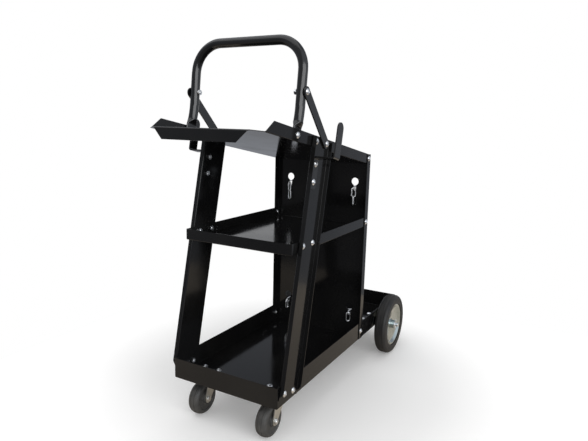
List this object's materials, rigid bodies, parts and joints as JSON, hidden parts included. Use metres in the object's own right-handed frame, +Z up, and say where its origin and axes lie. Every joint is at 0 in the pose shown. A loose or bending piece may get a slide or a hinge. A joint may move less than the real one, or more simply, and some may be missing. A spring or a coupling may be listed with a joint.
{
  "type": "welding cart",
  "caption": "Black folded-sheet welding cart with a tilted top tray, shelf, base tray with chained cylinder platform, tube handle, cable hooks, front swivel casters and rear wheels.",
  "frame": {"origin": "centre of the cart's bounding box on the floor it stands on", "axes": "+X to the cart's right seen from the front, +Y to its rear (cylinder platform), +Z up"},
  "size_m": [0.36, 0.769, 0.8015],
  "materials": {
    "black_paint": "smooth gloss black powder coat",
    "zinc": "bright zinc plate",
    "wheel_zinc": "bright zinc-plated pressed steel",
    "chain_zinc": "zinc-plated steel wire",
    "tyre": "moulded black rubber with fine tread",
    "caster_rubber": "matt dark grey moulded rubber"
  },
  "bodies": {
    "frame": {"bottom_tray": "black_paint", "middle_shelf": "black_paint", "top_tray": "black_paint", "back_panel": "black_paint", "handle_tube": "black_paint", "left_leg": "black_paint", "left_cable_hook": "black_paint", "left_handle_brace": "black_paint", "left_leg_top_front_bolt": "zinc", "left_brace_foot_bolt": "zinc", "left_hook_upper_bolt": "zinc", "left_hook_lower_bolt": "zinc", "left_shelf_front_bolt": "zinc", "left_shelf_rear_bolt": "zinc", "left_foot_front_bolt": "zinc", "left_foot_rear_bolt": "zinc", "left_panel_top_bolt": "zinc", "left_panel_middle_bolt": "zinc", "left_panel_bottom_bolt": "zinc", "left_handle_end_bolt": "zinc", "left_brace_top_bolt": "zinc", "left_axle_bracket": "zinc", "left_axle_washer": "zinc", "left_cotter_pin": "zinc", "left_caster_plate": "zinc", "right_leg": "black_paint", "right_cable_hook": "black_paint", "right_handle_brace": "black_paint", "right_leg_top_front_bolt": "zinc", "right_brace_foot_bolt": "zinc", "right_hook_upper_bolt": "zinc", "right_hook_lower_bolt": "zinc", "right_shelf_front_bolt": "zinc", "right_shelf_rear_bolt": "zinc", "right_foot_front_bolt": "zinc", "right_foot_rear_bolt": "zinc", "right_panel_top_bolt": "zinc", "right_panel_middle_bolt": "zinc", "right_panel_bottom_bolt": "zinc", "right_handle_end_bolt": "zinc", "right_brace_top_bolt": "zinc", "right_axle_bracket": "zinc", "right_axle_washer": "zinc", "right_cotter_pin": "zinc", "right_caster_plate": "zinc", "rear_axle": "zinc", "upper_chain": "chain_zinc", "lower_chain": "chain_zinc"},
    "left_rear_wheel": {"left_rear_tyre": "tyre", "left_rear_wheel_disc": "wheel_zinc"},
    "left_caster_swivel": {"left_caster_fork": "zinc", "left_caster_axle": "zinc"},
    "left_caster_roller": {"left_caster_wheel": "caster_rubber"},
    "right_rear_wheel": {"right_rear_tyre": "tyre", "right_rear_wheel_disc": "wheel_zinc"},
    "right_caster_swivel": {"right_caster_fork": "zinc", "right_caster_axle": "zinc"},
    "right_caster_roller": {"right_caster_wheel": "caster_rubber"}
  },
  "joints": [
    {"name": "left_rear_wheel_spin", "type": "hinge", "parent": "frame", "child": "left_rear_wheel", "pos_m": [-0.153, 0.27255, 0.082], "axis": [1, 0, 0], "continuous": true},
    {"name": "left_caster_swivel_turn", "type": "hinge", "parent": "frame", "child": "left_caster_swivel", "pos_m": [-0.0865, -0.24895, 0.078], "axis": [0, 0, 1], "continuous": true},
    {"name": "left_caster_wheel_spin", "type": "hinge", "parent": "left_caster_swivel", "child": "left_caster_roller", "pos_m": [-0.0865, -0.26745, 0.036], "axis": [1, 0, 0], "continuous": true},
    {"name": "right_rear_wheel_spin", "type": "hinge", "parent": "frame", "child": "right_rear_wheel", "pos_m": [0.153, 0.27255, 0.082], "axis": [1, 0, 0], "continuous": true},
    {"name": "right_caster_swivel_turn", "type": "hinge", "parent": "frame", "child": "right_caster_swivel", "pos_m": [0.0865, -0.24895, 0.078], "axis": [0, 0, 1], "continuous": true},
    {"name": "right_caster_wheel_spin", "type": "hinge", "parent": "right_caster_swivel", "child": "right_caster_roller", "pos_m": [0.0865, -0.26745, 0.036], "axis": [1, 0, 0], "continuous": true}
  ]
}
